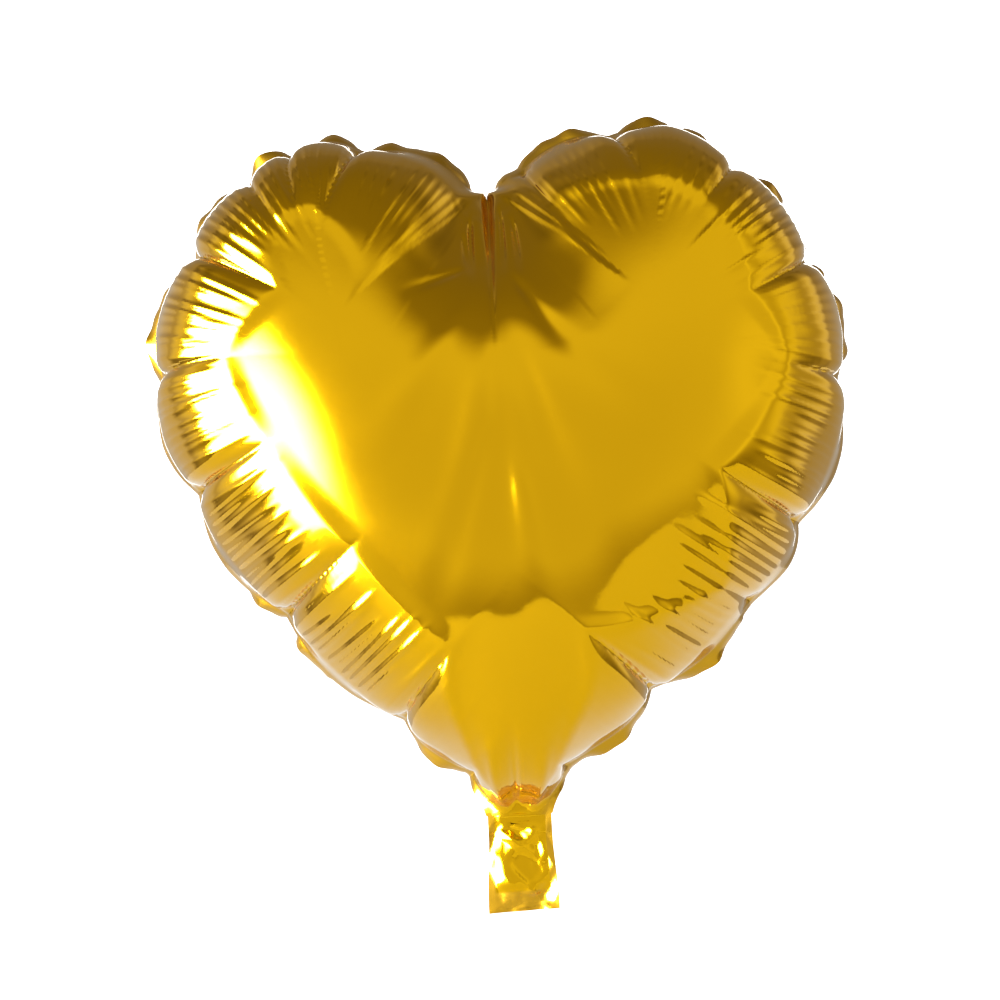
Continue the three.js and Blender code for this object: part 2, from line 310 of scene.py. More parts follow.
def lattice(step, ratio):
    """Flat film cut into even triangles: a staggered grid of points inside the cut,
    joined with the points of its edge, then evened out by averaging neighbours."""
    count = int(round(arc_length(loop_flat(np.linspace(0, 1, 2000), ratio))[-1] / step))
    across = max(2, int(round(2 * CHANNEL_HALF / step)))
    t = np.concatenate([
        np.arange(count) / count, 1 + np.arange(count) / count, 2 + np.arange(across) / across
    ])
    edge = loop_flat(t, ratio)
    low, high = edge.min(0) - step, edge.max(0) + step
    rise = step * math.sqrt(3) / 2
    rows = np.arange(int((high[1] - low[1]) / rise) + 1)
    reach = int(high[0] / step) + 1
    row, col = np.meshgrid(rows, np.arange(-reach, reach + 1), indexing="ij")
    points = np.stack([(col + 0.5 * (row % 2)) * step, low[1] + row * rise], -1)
    points = points.reshape(-1, 2)
    clear = np.sqrt(((points[:, None] - edge[None]) ** 2).sum(-1)).min(1) > 0.62 * step
    after = np.roll(edge, -1, axis=0)
    spans = (edge[None, :, 1] > points[:, 1:]) != (after[None, :, 1] > points[:, 1:])
    drop = np.where(after[:, 1] == edge[:, 1], 1e-9, after[:, 1] - edge[:, 1])
    lean = (after[:, 0] - edge[:, 0]) / drop
    cross = edge[None, :, 0] + (points[:, 1:] - edge[None, :, 1]) * lean[None]
    inside = (spans & (points[:, :1] < cross)).sum(1) % 2 == 1
    given = np.concatenate([edge, points[inside & clear]])
    ring = [(k, (k + 1) % len(edge)) for k in range(len(edge))]
    found = delaunay_2d_cdt([Vector(p) for p in given], ring, [], 1, 1e-6)
    if len(found[0]) != len(given):
        raise RuntimeError("The flat film's points were merged; choose another step")
    flat = np.array([tuple(p) for p in found[0]])
    tris = np.array([tuple(f) for f in found[2]])
    a, b, c = (flat[tris[:, k]] for k in range(3))
    turned = np.cross(b - a, c - a) < 0
    tris[turned] = tris[turned][:, ::-1]
    place = np.full(len(flat), -1.0)
    place[: len(edge)] = t
    pairs = edges_of(tris)
    for _ in range(30):
        total = np.zeros_like(flat)
        for k in (0, 1):
            total[:, k] = np.bincount(pairs[:, 0], flat[pairs[:, 1], k], len(flat))
            total[:, k] += np.bincount(pairs[:, 1], flat[pairs[:, 0], k], len(flat))
        mean = total / np.bincount(pairs.ravel(), minlength=len(flat))[:, None]
        free = place < 0
        flat[free] += 0.5 * (mean[free] - flat[free])
    return flat, tris, place


def split(tris, place, *fields):
    """Each triangle cut into four at the middles of its edges. A middle point takes the
    mean of its two ends, and a middle of the film's edge takes the mean loop place."""
    pairs = edges_of(tris)
    count = len(place)
    key = pairs[:, 0] * count + pairs[:, 1]

    def middle(a, b):
        return count + np.searchsorted(key, np.minimum(a, b) * count + np.maximum(a, b))

    a, b, c = tris.T
    ab, bc, ca = middle(a, b), middle(b, c), middle(c, a)
    corners = ((a, ab, ca), (ab, b, bc), (ca, bc, c), (ab, bc, ca))
    finer = np.concatenate([np.stack(corner, 1) for corner in corners])
    used = np.bincount(np.concatenate([ab, bc, ca]) - count, minlength=len(pairs))
    first, second = place[pairs[:, 0]], place[pairs[:, 1]]
    wraps = np.abs(first - second) > 1.5
    first, second = (
        np.where(wraps & (first < second), first + 3, first),
        np.where(wraps & (second < first), second + 3, second),
    )
    between = np.where(used == 1, (first + second) / 2 % 3, -1)
    means = [np.concatenate([f, (f[pairs[:, 0]] + f[pairs[:, 1]]) / 2]) for f in fields]
    return finer, np.concatenate([place, between]), means


def gather(owner, item, count, empty):
    """Table with one row per owner that lists its items, filled up with a spare one."""
    order = np.argsort(owner, kind="stable")
    owner, item = owner[order], item[order]
    number = np.bincount(owner, minlength=count)
    slot = np.arange(len(owner)) - np.repeat(np.cumsum(number) - number, number)
    table = np.tile(empty[:, None], (1, number.max()))
    table[owner, slot] = item
    mask = np.zeros(table.shape, np.float32)
    mask[owner, slot] = 1
    return table, mask


def area_normals(points, tris, around):
    """Normals as long as a third of the area round each point: the sum of the cross
    products of its triangles' sides, over six."""
    cross = np.zeros((len(tris) + 1, 3), points.dtype)
    a = points[tris[:, 0]]
    cross[:-1] = np.cross(points[tris[:, 1]] - a, points[tris[:, 2]] - a)
    return cross[around].sum(1) / 6


# Least height of a film over the middle plane.
LEAST_HEIGHT = 0.6
# Share of an edge's push back when it is squeezed: ridges finer than the triangles take
# up the surplus.
SQUEEZE = np.float32(0.1)
# Part of the steps in which the seam moves to its place, height of the first shake, and
# how far a point moves for its force.
SEAM_MOVE = 0.3
SHAKE = 0.03
GAIN = 0.3

# Steps, pressure, stiffness, kept speed, share of the puckers.
STAGES = (
    (1500, 4e-4, 0.1, 0.985, 1.0),
    (2000, 1.2e-4, 0.3, 0.985, 1.0),
    (1500, 9e-5, 0.6, 0.98, 1.0),
)
LAST_STEPS = 60
START_HEIGHT = 5.0


def fill_with_gas(points, flat, tris, place, steps, pressure, bending, drag, amount, seed):
    """Lets the film find its filled shape. Each step adds up, for every point: the pull of
    its edges, which is their stretch over their flat length, with only a share of it where
    they are squeezed; the gas, which is pressure times area along the normal; and
    stiffness, which is the change of curvature along the normal. The speed keeps a share
    of itself from step to step."""
    count = len(points)
    pairs = edges_of(tris)
    near, mask = gather(
        np.concatenate([pairs[:, 0], pairs[:, 1]]),
        np.concatenate([pairs[:, 1], pairs[:, 0]]), count, np.arange(count),
    )
    corner = np.repeat(np.arange(len(tris)), 3)
    around, _ = gather(tris.ravel(), corner, count, np.full(count, len(tris)))
    number = mask.sum(1)
    points = points.astype(np.float32)
    rest = np.sqrt(((flat[near] - flat[:, None]) ** 2).sum(-1)).astype(np.float32)
    held = place >= 0
    goal = loop_filled(place[held] % 3, amount).astype(np.float32)
    start = points[held].copy()
    if seed:
        shake = np.random.default_rng(seed).normal(0, SHAKE, (~held).sum())
        points[~held, 2] += shake.astype(np.float32)
    speed = np.zeros_like(points)
    free = (~held).astype(np.float32)
    gain = (GAIN * 6 / np.maximum(number, 6)).astype(np.float32)[:, None] * free[:, None]
    share = (1 / number).astype(np.float32)
    ramp = max(1, int(steps * SEAM_MOVE))
    for step in range(steps):
        points[held] = start + (goal - start) * min(1, (step + 1) / ramp)
        way = points[near] - points[:, None]
        length = np.sqrt(np.einsum("vkc,vkc->vk", way, way)) + 1e-9
        stretch = (1 - rest / length) * mask
        stretch = np.where(stretch > 0, stretch, SQUEEZE * stretch)
        force = np.einsum("vk,vkc->vc", np.clip(stretch, -0.5, 0.5), way)
        normal = area_normals(points, tris, around)
        force += pressure * normal
        unit = normal / (np.sqrt((normal**2).sum(1))[:, None] + 1e-12)
        curve = (np.einsum("vk,vkc->vc", mask, way) * unit).sum(1) * share * free
        change = (curve[near] * mask).sum(1) * share - curve
        force -= bending * change[:, None] * unit
        speed = drag * speed + gain * force
        points += speed
        low = (points[:, 2] < LEAST_HEIGHT) & ~held
        points[low, 2] = LEAST_HEIGHT
    return points.astype(float)


def finer(points, flat, tris, place, ratio):
    """The film with each triangle cut into four, its edge kept on the cut's edge."""
    tris, place, (points, flat) = split(tris, place, points, flat)
    edge = place >= 0
    flat[edge] = loop_flat(place[edge], ratio)
    return points, flat, tris, place


def filled_film(step, ratio):
    """Shape of one film: the flat cut filled with gas on coarse, then finer triangles,
    and cut once more for the fine shapes."""
    flat, tris, place = lattice(step, ratio)
    points = np.column_stack([to_filled(flat, ratio), np.full(len(flat), START_HEIGHT)])
    for number, (steps, *stage) in enumerate(STAGES):
        if number:
            points, flat, tris, place = finer(points, flat, tris, place, ratio)
        steps = steps
        points = fill_with_gas(points, flat, tris, place, steps, *stage, seed=number)
    points, flat, tris, place = finer(points, flat, tris, place, ratio)
    points = fill_with_gas(points, flat, tris, place, LAST_STEPS, *STAGES[-1][1:], seed=0)
    return points, flat, tris, place


def seam_distance(flat, ratio):
    """For each point of the flat film: the loop place nearest to it and how far it is.
    The nearest of evenly spread edge points gives the two pieces of edge next to it, and
    the point is dropped square onto each."""
    t = np.linspace(0, 2, 1601)
    edge = loop_flat(t, ratio)
    place = np.zeros(len(flat))
    distance = np.full(len(flat), 1e9)
    for first in range(0, len(flat), 4000):
        part = flat[first : first + 4000]
        best = ((part[:, None] - edge[None]) ** 2).sum(-1).argmin(1)
        for start in (np.maximum(best - 1, 0), np.minimum(best, len(edge) - 2)):
            way = edge[start + 1] - edge[start]
            share = ((part - edge[start]) * way).sum(1) / ((way**2).sum(1) + 1e-12)
            share = np.clip(share, 0, 1)
            gap = np.linalg.norm(part - edge[start] - way * share[:, None], axis=1)
            closer = gap < distance[first : first + 4000]
            place[first : first + 4000][closer] = (t[start] + share * (t[1] - t[0]))[closer]
            distance[first : first + 4000][closer] = gap[closer]
    return place, distance


# Short folds beside a crease: how far to its side, depth, and share of its length.
SIDE_FOLDS = (
    (-6.0, 0.22, 0.62),
    (5.4, 0.18, 0.5),
)
# Half widths of a crease's wide valley, at its start and its growth, of its narrow one
# and of the folds beside it.
WIDE_VALLEY = (5, 3)
NARROW_VALLEY = 2.0
SIDE_FOLD = 1.6
# Depth of pucker, in mm, that counts as a full crease.
FULL_PUCKER = 8
# How soon the soft edge between the creases' inner ends falls away on both sides.
EDGE_REACH = 13


def crease(away, down):
    """Depth of a pucker's crease, from 0 to about 1, at a distance from its line and a
    share of its length: a narrow valley in a wide one, with a short fold on each side."""
    fall = smooth(down / 0.08) * np.clip(1 - down, 0, 1)
    wide = WIDE_VALLEY[0] + WIDE_VALLEY[1] * down
    valley = 0.4 * np.exp(-((away / wide) ** 2)) + 0.7 * np.exp(-np.abs(away) / NARROW_VALLEY)
    for offset, part, stop in SIDE_FOLDS:
        short = np.clip(1 - down / stop, 0, 1)
        beside = np.abs(away - offset * (1 - 0.5 * down))
        valley += part * short * np.exp(-beside / SIDE_FOLD)
    return fall * valley


def pillow_relief(share, distance, puckers, run, sizes):
    """Relief near one side's seam. Along each pucker the film drops into a narrow valley
    within a wide one, each an exponential of the distance to its line, with a shorter
    fold on either side; a soft edge joins the inner ends of the puckers, where the pillows
    meet the middle of the heart."""
    rows = ((0.0, 0.0, 10, 0, 0.0),) + puckers + (CLEFT_PUCKER,)
    start, end, reach, depth, ridged = np.array(rows, float).T
    t = np.clip(distance[:, None] / reach[None], 0, 1.3)
    line = start[None] + (end - start)[None] * t
    k = np.clip((share[:, None] >= line).sum(1) - 1, 0, len(rows) - 2)
    pick = np.arange(len(share))
    left, right = line[pick, k], line[pick, k + 1]
    u = np.clip((share - left) / np.maximum(right - left, 1e-6), 0, 1)
    length = reach[k] + (reach[k + 1] - reach[k]) * u
    deep = (depth[k] + (depth[k + 1] - depth[k]) * u) / FULL_PUCKER
    pillow = deep * np.sqrt(np.sin(math.pi * u) + 1e-9)
    pillow *= smooth((1.15 - distance / length) / 0.3) * smooth(distance / 14)
    off = np.sqrt((distance - length) ** 2 + 4) - 2
    edge = np.exp(-off / EDGE_REACH) * smooth(deep * 3) * smooth((0.97 - share) / 0.12)
    groove = np.zeros(len(share))
    for row in range(1, len(rows) - 1):
        away = (share - line[:, row]) * run
        down = distance / reach[row]
        groove = np.maximum(groove, depth[row] / FULL_PUCKER * crease(away, down))
    relief = sizes.pillow_height / MM * pillow + sizes.edge_height / MM * edge
    ridged = ridged[k] * np.sin(math.pi * u) ** 0.35
    return relief - sizes.crease_depth / MM * groove, ridged


# Fine ridges square to the seam: least and most distance apart, height share, length and
# lean, and half the width of one over the distance to the next.
RIDGE_GAPS = (5.8, 7.8)
RIDGE_HEIGHTS = (0.6, 1.0)
RIDGE_LENGTHS = (56, 92)
RIDGE_LEANS = (-0.05, 0.05)
RIDGE_WIDTH = 0.27


def ridge_relief(share, distance, run, strength, seed, sizes):
    """Fine ridges square to the seam: each a bell curve across, of its own height, length
    and lean. One in five is lower."""
    rng = np.random.default_rng(seed)
    gaps = rng.uniform(*RIDGE_GAPS, int(run / RIDGE_GAPS[0]))
    centres = np.cumsum(gaps)
    heights = rng.uniform(*RIDGE_HEIGHTS, len(gaps)) * (1 - 0.4 * (rng.random(len(gaps)) < 0.2))
    lengths = rng.uniform(*RIDGE_LENGTHS, len(gaps))
    lean = rng.uniform(*RIDGE_LEANS, len(gaps))
    at = share * run
    k = np.clip(np.searchsorted(centres, at), 1, len(gaps) - 1)
    total = np.zeros(len(share))
    for side in (k - 1, k):
        across = (at - centres[side] - lean[side] * distance) / (RIDGE_WIDTH * gaps[side])
        window = smooth((distance - 8) / 16) * smooth((lengths[side] - distance) / 24)
        total += heights[side] * np.exp(-(across**2)) * window
    return sizes.ridge_height / MM * strength * total


# Soft folds in the middle: start, turn from straight down, length, half width at the
# end, and rise.
MIDDLE_FOLDS = (
    (-2, 296, -0.17, 200, 18, 1.2),
    (-1, 290, 0.05, 140, 12, -0.9),
    (2, 300, 0.27, 200, 19, -1.9),
    (6, 222, 0.12, 120, 12, 1.3),
    (-4, 236, -0.30, 130, 12, -1.1),
    (-12, 300, -0.62, 110, 13, 0.8),
    (12, 300, 0.75, 110, 13, -0.7),
)

# Share of a full crease that the cleft's own line has, and short sharp folds beside it.
CLEFT_LINE = 0.55
CLEFT_FOLDS = (
    (-11, 346, 0.02, 40, 2.4, -2.6),
    (-15, 336, 0.10, 26, 2.0, -1.4),
    (8, 350, -0.03, 42, 2.2, -2.4),
    (14, 344, 0.05, 36, 2.2, -2.0),
    (-12, 316, -1.25, 44, 4, -0.9),
    (10, 312, 0.60, 56, 6, -1.1),
)
# Height by which the lobes swell over the cleft, and their reach across and down.
LOBE_SWELL = 6.5
LOBE_SWELL_ACROSS = 13
LOBE_SWELL_DOWN = 46


def cleft_swell(filled):
    """Swelling of the two lobes towards each other over the cleft: a bell curve across
    with a sharp cut at the middle, which rises below the seam and fades further down."""
    down = LOBE_TOP - CLEFT_DEPTH - SEAM_INSET - filled[:, 1]
    across = np.abs(filled[:, 0])
    window = smooth((down + 4) / 9) * smooth((LOBE_SWELL_DOWN - down) / 34)
    bell = np.exp(-((across / LOBE_SWELL_ACROSS) ** 2)) * (1 - np.exp(-across / 2.2))
    return LOBE_SWELL * window * bell


# Folds that run up from the neck.
TIP_FOLDS = (
    (-6, 6, math.pi + 0.16, 62, 5, 2.6),
    (-1, 6, math.pi + 0.02, 70, 4, -2.4),
    (6, 6, math.pi - 0.20, 58, 5, 2.4),
    (12, 9, math.pi - 0.62, 42, 4, -2.0),
    (-11, 9, math.pi + 0.60, 44, 4, -2.2),
    (-13, 12, math.pi + 0.95, 36, 3, 1.4),
)


def fold_relief(filled, folds):
    """Soft folds: each a bell curve across, whose width grows and whose height rises and
    fades along it."""
    total = np.zeros(len(filled))
    for x, z, turn, length, width, rise in folds:
        dx, dz = filled[:, 0] - x, z - filled[:, 1]
        down = (dx * math.sin(turn) + dz * math.cos(turn)) / length
        across = dx * math.cos(turn) - dz * math.sin(turn)
        spread = width * (0.3 + 0.7 * np.clip(down, 0, 1))
        window = smooth(down / 0.25) * smooth((1 - down) / 0.6)
        total += rise * window * np.exp(-((across / spread) ** 2))
    return total


def film_relief(flat, ratio, seed, sizes):
    """Relief of the whole film over its filled shape, and its distance from the seam."""
    place, distance = seam_distance(flat, ratio)
    run = arc_length(loop_flat(np.linspace(0, 1, 2000), ratio))[-1]
    relief = np.zeros(len(flat))
    middle = smooth(np.abs(flat[:, 0]) / 14) + smooth((flat[:, 1] - 110) / 60)
    middle = np.minimum(middle, 1)
    for side, puckers in ((1, RIGHT_PUCKERS), (-1, LEFT_PUCKERS)):
        mine = place <= 1 if side > 0 else place > 1
        share = place[mine] if side > 0 else 2 - place[mine]
        pillow, strength = pillow_relief(share, distance[mine], puckers, run, sizes)
        ridge = ridge_relief(share, distance[mine], run, strength, seed + side, sizes)
        relief[mine] = (pillow + ridge) * middle[mine]
    cleft = loop_flat(np.array([1.0]), ratio)[0]
    below = (cleft[1] - flat[:, 1]) / CLEFT_PUCKER[2]
    line = CLEFT_LINE * crease(flat[:, 0], below) * (below > 0)
    relief -= sizes.crease_depth / MM * line
    return relief, place, distance


# Sideways wave of the weld: share, turns and start of each sine, and their height.
WELD_WAVES = (
    (1.0, 41, 0.6),
    (0.7, 67, 2.1),
    (0.4, 23, 0.0),
)
WELD_WAVE_HEIGHT = 1.6


def seam_wave(place):
    """Sideways wave of the weld: a few sines of the loop place, none at neck or cleft."""
    share = np.where(place <= 1, place, 2 - place)
    wave = sum(part * np.sin(place * turns + start) for part, turns, start in WELD_WAVES)
    return WELD_WAVE_HEIGHT * wave * smooth(share / 0.12) * smooth((1 - share) / 0.05)


def standing(place):
    """How far the weld's loose edge stands out: windows with eased ends."""
    out = np.zeros(len(place))
    for side, first, last, lift in STANDING_EDGE:
        share = np.where(place <= 1, place, 2 - place)
        mine = (place <= 1) == (side > 0)
        u = np.clip((share - first) / (last - first), 0, 1)
        window = np.sin(math.pi * u) ** 0.55
        out = np.maximum(out, np.where(mine, window * lift, 0))
    share = np.where(place <= 1, place, 2 - place)
    return np.maximum(out, smooth((0.05 - share) / 0.03))


FLANGE_RINGS = 6
# The loose edge: its turn back where it lies and where it stands, its waves (turns and
# share) where it stands, and its ragged cut (turns and share of the width).
LAID_BACK = math.radians(76)
STANDING_TURN = 0.8
EDGE_WAVES = (
    (61, 0.3),
    (117, 0.2),
    (251, 0.08),
)
EDGE_WAVE = 0.8
RAGGED_CUT = (190, 0.05)
EDGE_SEED = 31


def flange(edge, place, sizes):
    """The weld beyond the seam: rows of points that leave the seam outwards and turn back
    by an angle. The angle is large where the edge lies back and small where it stands."""
    share = np.where(place <= 1, place, 2 - place)
    side = np.where(place <= 1, 1, -1)
    grid = np.linspace(0, 1, 4000)
    path = along(SEAM, grid)
    normal = -inward(path)
    out = np.stack([np.interp(share, grid, normal[:, k]) for k in (0, 1)], -1)
    out[:, 0] *= side
    neckward = smooth(share / 0.05)[:, None]
    out = out * neckward + np.stack([side, 0 * side], -1) * (1 - neckward)
    out /= np.linalg.norm(out, axis=1)[:, None]
    width = NECK_WELD + (sizes.weld_width / MM - NECK_WELD) * smooth(share / 0.09)
    turns, part = RAGGED_CUT
    width = width * (1 + part * np.sin(place * turns) * smooth(share / 0.05))
    up = standing(place)
    rng = np.random.default_rng(EDGE_SEED)
    wave = sum(part * np.sin(place * turns + rng.uniform(0, 6)) for turns, part in EDGE_WAVES)
    angle = LAID_BACK * (1 - up) + (STANDING_TURN + EDGE_WAVE * wave) * up
    angle = angle * smooth(share / 0.04)
    rings = []
    for ring in range(1, FLANGE_RINGS + 1):
        reach = width * ring / FLANGE_RINGS
        turned = angle * (0.75 + 0.25 * ring / FLANGE_RINGS)
        flat_part = edge[:, :2] + out * (reach * np.cos(turned))[:, None]
        back = edge[:, 2] - reach * np.sin(turned)
        rings.append(np.column_stack([flat_part, back]))
    return rings


# Tail: rows down its length, the slit across the neck, the weld at its end, and how much
# wider the tail grows.
TAIL_STEP = 0.8
SLIT_TOP = 7.6
SLIT_FOOT = 6.0
SLIT_HALF = 5.5
END_WELD = 12
TAIL_SPREAD = 2
TAIL_DROOP = 0.03
# Crumples: how many, their half widths, heights and reach along their line, the share
# that runs down rather than across, and the area of their places.
CRUMPLES = 18
CRUMPLE_WIDTHS = (3, 8)
CRUMPLE_HEIGHTS = (0.8, 2.1)
CRUMPLE_REACH = 14
CRUMPLE_TURNS = (-0.5, 1.2)
CRUMPLES_DOWN = 0.45
CRUMPLE_ACROSS = (-14, 14)
CRUMPLE_UP = (-40, 6)
CRUMPLE_SEED = 5
# Two bands of plain ridges on the tail: height over the end, half height and share of
# each, then the ridges' height, distance apart and the half width of the bands.
RIDGE_BANDS = (
    (7.44, 2.4, 1.0),
    (1.24, 1.6, 0.8),
)
BAND_RIDGE = 0.22
BAND_PITCH = 2.9
BAND_HALF = 14


def crumple(x, z):
    """Crumpled film: the sum of tent-shaped folds, each a straight line with its own
    place, turn and width."""
    rng = np.random.default_rng(CRUMPLE_SEED)
    total = np.zeros_like(x)
    for _ in range(CRUMPLES):
        turn = rng.uniform(*CRUMPLE_TURNS)
        turn += math.pi / 2 if rng.random() < CRUMPLES_DOWN else 0
        dx = x - rng.uniform(*CRUMPLE_ACROSS)
        dz = z - rng.uniform(*CRUMPLE_UP)
        across = dx * math.sin(turn) + dz * math.cos(turn)
        beside = dx * math.cos(turn) - dz * math.sin(turn)
        tent = np.clip(1 - np.abs(across) / rng.uniform(*CRUMPLE_WIDTHS), 0, 1)
        rise = rng.choice([-1, 1]) * rng.uniform(*CRUMPLE_HEIGHTS)
        total += rise * tent * np.exp(-((beside / CRUMPLE_REACH) ** 2))
    return total


def tail_rows(columns):
    """Grid of the neck and tail below the filled part. Across, its columns are those of
    the channel and the two welds; down, its rows are even, with two on the slit's lips."""
    rows = np.arange(FILLED_FROM, -TAIL_LENGTH, -TAIL_STEP)
    for lip in (SLIT_TOP, SLIT_FOOT):
        rows[np.abs(rows - lip).argmin()] = lip
    rows = np.append(rows, -TAIL_LENGTH)
    u, z = np.meshgrid(columns, rows)
    grow = 1 + TAIL_SPREAD / NECK_HALF * smooth((2 - z) / TAIL_LENGTH)
    x = u * grow
    slope = (z / -TAIL_LENGTH).clip(0, 1) * x * TAIL_DROOP
    return u, x, z, z + slope


def tail_height(u, x, z):
    """Height of the tail's film over the middle plane: the channel's arch, closed by the
    end weld, and the sideways shift shared by both films: folds and the weld's ridges."""
    closed = smooth((z + TAIL_LENGTH - END_WELD) / 5)
    height = FILM_GAP + (channel_height(u) - FILM_GAP) * closed
    calm = smooth((9.5 - z) / 8)
    shift = crumple(x, z) * calm
    up = z + TAIL_LENGTH
    band = sum(part * np.exp(-(((up - mid) / half) ** 2)) for mid, half, part in RIDGE_BANDS)
    ridges = BAND_RIDGE * np.sin(x * 2 * math.pi / BAND_PITCH) * band
    return height, shift + ridges * (np.abs(x) < BAND_HALF)


# Room for the open valve films: height where they turn, height over which it ends, their
# slope when open, and half the width they need.
VALVE_TURN = 9.6
VALVE_END = 100
VALVE_SLOPE = 0.1
VALVE_HALF = 13.3


def valve_room(points):
    """Least height of the film: a slope over the valve films, so that they can open."""
    up = np.clip(points[:, 1] - VALVE_TURN, 0, None)
    over = smooth((VALVE_HALF - np.abs(points[:, 0])) / 0.6)
    over = over * smooth((VALVE_END - points[:, 1]) / 20)
    return LEAST_HEIGHT + over * VALVE_SLOPE * up


# The filled heart hangs a little fuller low on its sides, more on the right than on the
# left: height and reach of the fuller part, and its share of the width on each side.
FULL_HEIGHT = 125
FULL_REACH = 110
FULL_LEFT = 0.05
FULL_RIGHT = 0.14


def hung(vertices):
    """Widens the heart low on its sides: x grows by a bell curve of the height, whose
    share changes smoothly from the left to the right."""
    x, z = vertices[:, 0], vertices[:, 2]
    share = FULL_LEFT + (FULL_RIGHT - FULL_LEFT) * smooth((x + 60) / 120)
    bell = np.exp(-(((z - FULL_HEIGHT) / FULL_REACH) ** 2)) * smooth((z - FILLED_FROM) / 25)
    return np.column_stack([x * (1 + share * bell), vertices[:, 1], z])


def fuller(points, fullness):
    """A fuller rim and a flatter middle with the same crown: the share of the crown's
    height that a point lacks is raised to a power."""
    points = points.copy()
    crown = points[:, 2].max()
    points[:, 2] = crown * (1 - (1 - points[:, 2] / crown) ** fullness)
    return points


def heart_shape(filled, seed, sizes):
    """The filled film with all its relief, and for each point the loop place nearest to
    it and its distance from the seam."""
    points, flat, tris, place = filled
    points = fuller(points, sizes.fullness)
    corner = np.repeat(np.arange(len(tris)), 3)
    around, _ = gather(tris.ravel(), corner, len(points), np.full(len(points), len(tris)))
    normal = area_normals(points, tris, around)
    normal /= np.linalg.norm(normal, axis=1)[:, None] + 1e-12
    relief, near, distance = film_relief(flat, sizes.cut_ratio, seed, sizes)
    front = points[:, :2]
    relief += fold_relief(front, MIDDLE_FOLDS) * smooth((distance - 30) / 30)
    relief += fold_relief(front, CLEFT_FOLDS) * smooth(distance / 8)
    relief += cleft_swell(front)
    relief += fold_relief(front, TIP_FOLDS) * smooth((front[:, 1] - FILLED_FROM) / 5)
    free = place < 0
    points[free] += normal[free] * relief[free, None]
    points[free, 2] = np.maximum(points[free, 2], valve_room(points[free]))
    return points, near, distance


class Sheet:
    """Collects a film's points, triangles and weld values, part by part; the weld values also
    carry painted shade along the seam. Its side is -1 for the front film, which faces -Y, and 1
    for the rear one."""

    def __init__(self, side):
        self.side = side
        self.vertices = []
        self.faces = []
        self.weld = []
        self.count = 0

    def add(self, vertices, weld):
        """Adds points and gives their numbers."""
        number = np.arange(self.count, self.count + len(vertices))
        self.vertices.append(vertices)
        self.weld.append(weld)
        self.count += len(vertices)
        return number

    def join(self, *tris):
        """Adds triangles, turned to face the film's own side."""
        for part in tris:
            self.faces.append(part if self.side < 0 else part[:, ::-1])

    def join_quads(self, quads):
        """Adds two triangles for each quad."""
        self.join(quads[:, [0, 1, 2]], quads[:, [0, 2, 3]])

    def mesh(self, name):
        """The film's object."""
        return new_mesh(
            name, hung(np.concatenate(self.vertices)) * MM, np.concatenate(self.faces),
            {"weld": np.concatenate(self.weld)},
        )


def add_weld(sheet, points, place, sizes):
    """The weld's rows, along the seam from the right of the neck round to its left. Gives
    the numbers of their points, row by row."""
    loop = np.where((place >= 0) & (place <= 2))[0]
    loop = loop[np.argsort(place[loop])]
    t = place[loop]
    seam = np.column_stack([points[loop, :2], np.zeros(len(loop))])
    y = seam_wave(t) + FILM_GAP * sheet.side
    before = loop
    rows = []
    for ring in flange(seam, t, sizes):
        row = np.column_stack([ring[:, 0], y - ring[:, 2], ring[:, 1]])
        # Full weld value on the flange: in the foil it is duller, and painted darker as shade.
        number = sheet.add(row, np.ones(len(loop)))
        sheet.join_quads(np.stack([before[:-1], number[:-1], number[1:], before[1:]], 1))
        rows.append(number)
        before = number
    return rows


def add_tail(sheet, points, place, weld_rows):
    """Neck and tail: a grid whose first row is the channel's edge with the ends of the
    weld's rows on both sides. The front film's grid leaves out the slit."""
    across = np.where(place > 2)[0]
    across = across[np.argsort(place[across])]
    channel = np.concatenate([np.where(place == 2)[0], across, np.where(place == 0)[0]])
    steps = NECK_WELD * np.arange(1, FLANGE_RINGS + 1) / FLANGE_RINGS
    columns = np.concatenate([
        -CHANNEL_HALF - steps[::-1], points[channel, 0], CHANNEL_HALF + steps
    ])
    u, x, z, drawn_z = tail_rows(columns)
    height, common = tail_height(u, x, z)
    body = np.stack([x, height * sheet.side + common, drawn_z], -1)
    # Weld value of the welded sides and end: in the foil they are duller, and their darker gold
    # is painted shade.
    weld = np.maximum(
        smooth((np.abs(u) - CHANNEL_HALF) / 0.5), smooth((END_WELD - TAIL_LENGTH - z) / 1.5)
    )
    number = np.zeros(u.shape, int)
    left = [row[-1] for row in weld_rows[::-1]]
    right = [row[0] for row in weld_rows]
    number[0] = np.concatenate([left, channel, right])
    number[1:] = sheet.add(body[1:].reshape(-1, 3), weld[1:].ravel()).reshape(-1, u.shape[1])
    quads = np.stack([number[:-1, :-1], number[1:, :-1], number[1:, 1:], number[:-1, 1:]], -1)
    middle_x = (x[:-1, :-1] + x[1:, 1:]) / 2
    middle_z = (z[:-1, :-1] + z[1:, 1:]) / 2
    slit = (np.abs(middle_x) < SLIT_HALF) & (middle_z < SLIT_TOP) & (middle_z > SLIT_FOOT)
    sheet.join_quads(quads[~slit] if sheet.side < 0 else quads.reshape(-1, 4))


def film_mesh(name, filled, side, seed, sizes):
    """One whole film: filled heart, weld and tail, joined point to point. Near the seam
    the weld's wave moves both films alike."""
    _, _, tris, place = filled
    points, near, distance = heart_shape(filled, seed, sizes)
    y = points[:, 2] * side + seam_wave(near) * np.exp(-distance / 16)
    sheet = Sheet(side)
    # The weld value fades over about 3 mm into the film from the seam; in the foil it darkens
    # the film there, painted shade along the seam.
    sheet.add(np.column_stack([points[:, 0], y, points[:, 1]]), np.exp(-distance / 3.0))
    sheet.join(tris)
    rows = add_weld(sheet, points, place, sizes)
    add_tail(sheet, points, place, rows)
    return sheet.mesh(name)


